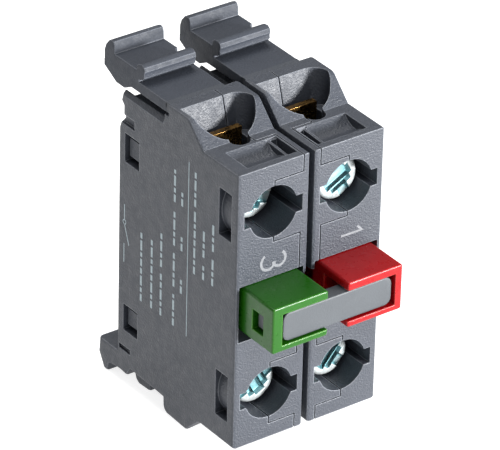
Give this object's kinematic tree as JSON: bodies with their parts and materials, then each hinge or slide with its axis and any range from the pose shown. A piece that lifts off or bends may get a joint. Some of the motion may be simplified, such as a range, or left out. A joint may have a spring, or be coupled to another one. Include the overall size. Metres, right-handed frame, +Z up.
{
  "type": "contact block pair",
  "caption": "Twin contact block for a 22 mm push button: normally-open and normally-closed switch elements ganged by a link plate, with screw terminals and base latches.",
  "frame": {"origin": "middle of the link plate's front face, where the push button's actuator presses", "axes": "+Y into the blocks along the plunger stroke, towards the base plate; +Z up along the block height; +X to the right, from the normally-open to the normally-closed block"},
  "size_m": [0.0194, 0.0317, 0.0425],
  "materials": {
    "housing_plastic": "fine spark-eroded anthracite grey polyamide",
    "green_plastic": "satin green polyamide",
    "red_plastic": "satin red polyamide",
    "link_plastic": "satin mid-grey polyamide",
    "zinc_steel": "clear zinc plated steel",
    "brass": "bright rolled brass strip",
    "contact_silver": "silver alloy contact rivet",
    "spring_steel": "drawn spring wire"
  },
  "bodies": {
    "housing": {"no_main_shell": "housing_plastic", "no_cover_shell": "housing_plastic", "no_return_spring": "spring_steel", "no_upper_terminal": "brass", "no_upper_fixed_tip": "contact_silver", "no_lower_terminal": "brass", "no_lower_fixed_tip": "contact_silver", "nc_main_shell": "housing_plastic", "nc_cover_shell": "housing_plastic", "nc_return_spring": "spring_steel", "nc_upper_terminal": "brass", "nc_upper_fixed_tip": "contact_silver", "nc_lower_terminal": "brass", "nc_lower_fixed_tip": "contact_silver"},
    "no_plunger": {"no_plunger": "green_plastic", "link_plate": "link_plastic", "no_contact_spring": "spring_steel"},
    "nc_plunger": {"nc_plunger": "red_plastic"},
    "no_bridge": {"no_contact_bridge": "brass", "no_upper_moving_tip": "contact_silver", "no_lower_moving_tip": "contact_silver"},
    "nc_bridge": {"nc_contact_bridge": "brass", "nc_upper_moving_tip": "contact_silver", "nc_lower_moving_tip": "contact_silver", "nc_contact_spring": "spring_steel"},
    "no_latch": {"no_latch_arm": "housing_plastic"},
    "nc_latch": {"nc_latch_arm": "housing_plastic"},
    "no_upper_clamp": {"no_upper_wire_clamp": "zinc_steel"},
    "no_upper_screw": {"no_upper_screw": "zinc_steel"},
    "no_lower_clamp": {"no_lower_wire_clamp": "zinc_steel"},
    "no_lower_screw": {"no_lower_screw": "zinc_steel"},
    "nc_upper_clamp": {"nc_upper_wire_clamp": "zinc_steel"},
    "nc_upper_screw": {"nc_upper_screw": "zinc_steel"},
    "nc_lower_clamp": {"nc_lower_wire_clamp": "zinc_steel"},
    "nc_lower_screw": {"nc_lower_screw": "zinc_steel"}
  },
  "joints": [
    {"name": "no_plunger_slide", "type": "slide", "parent": "housing", "child": "no_plunger", "axis": [0, 1, 0], "range_m": [0, 0.0045], "stiffness_N_per_m": 450, "springref_m": -0.0045, "deforming": ["no_return_spring", "no_contact_spring"]},
    {"name": "nc_plunger_slide", "type": "slide", "parent": "housing", "child": "nc_plunger", "axis": [0, 1, 0], "range_m": [0, 0.0045], "deforming": ["nc_return_spring", "nc_contact_spring"]},
    {"name": "no_bridge_slide", "type": "slide", "parent": "housing", "child": "no_bridge", "axis": [0, 1, 0], "range_m": [0, 0.002]},
    {"name": "nc_bridge_slide", "type": "slide", "parent": "housing", "child": "nc_bridge", "axis": [0, 1, 0], "range_m": [0, 0.003]},
    {"name": "no_latch_hinge", "type": "hinge", "parent": "housing", "child": "no_latch", "pos_m": [-0.00592, 0.0186, 0.01908], "axis": [1, 0, 0], "range_deg": [0, 8], "stiffness_Nm_per_rad": 0.6},
    {"name": "nc_latch_hinge", "type": "hinge", "parent": "housing", "child": "nc_latch", "pos_m": [0.00407, 0.0186, 0.01908], "axis": [1, 0, 0], "range_deg": [0, 8], "stiffness_Nm_per_rad": 0.6},
    {"name": "no_upper_clamp_slide", "type": "slide", "parent": "housing", "child": "no_upper_clamp", "axis": [0, 1, 0], "range_m": [0, 0.0015]},
    {"name": "no_upper_screw_turn", "type": "hinge", "parent": "no_upper_clamp", "child": "no_upper_screw", "pos_m": [-0.005, 0.0091, 0.0112], "axis": [0, 1, 0], "range_deg": [0, 900.1]},
    {"name": "no_lower_clamp_slide", "type": "slide", "parent": "housing", "child": "no_lower_clamp", "axis": [0, 1, 0], "range_m": [0, 0.0027]},
    {"name": "no_lower_screw_turn", "type": "hinge", "parent": "no_lower_clamp", "child": "no_lower_screw", "pos_m": [-0.005, 0.0079, -0.0116], "axis": [0, 1, 0], "range_deg": [0, 1620.1]},
    {"name": "nc_upper_clamp_slide", "type": "slide", "parent": "housing", "child": "nc_upper_clamp", "axis": [0, 1, 0], "range_m": [0, 0.0033]},
    {"name": "nc_upper_screw_turn", "type": "hinge", "parent": "nc_upper_clamp", "child": "nc_upper_screw", "pos_m": [0.005, 0.0073, 0.0112], "axis": [0, 1, 0], "range_deg": [0, 1980.1]},
    {"name": "nc_lower_clamp_slide", "type": "slide", "parent": "housing", "child": "nc_lower_clamp", "axis": [0, 1, 0], "range_m": [0, 0.0027]},
    {"name": "nc_lower_screw_turn", "type": "hinge", "parent": "nc_lower_clamp", "child": "nc_lower_screw", "pos_m": [0.005, 0.0079, -0.0116], "axis": [0, 1, 0], "range_deg": [0, 1620.1]}
  ],
  "couplings": [
    {"joint": "nc_plunger_slide", "follows": "no_plunger_slide", "ratio": 1},
    {"joint": "no_bridge_slide", "follows": "no_plunger_slide", "ratio": 0.44444},
    {"joint": "nc_bridge_slide", "follows": "no_plunger_slide", "ratio": 0.66667},
    {"joint": "no_upper_screw_turn", "follows": "no_upper_clamp_slide", "rad_per_m": 10472},
    {"joint": "no_lower_screw_turn", "follows": "no_lower_clamp_slide", "rad_per_m": 10472},
    {"joint": "nc_upper_screw_turn", "follows": "nc_upper_clamp_slide", "rad_per_m": 10472},
    {"joint": "nc_lower_screw_turn", "follows": "nc_lower_clamp_slide", "rad_per_m": 10472}
  ]
}
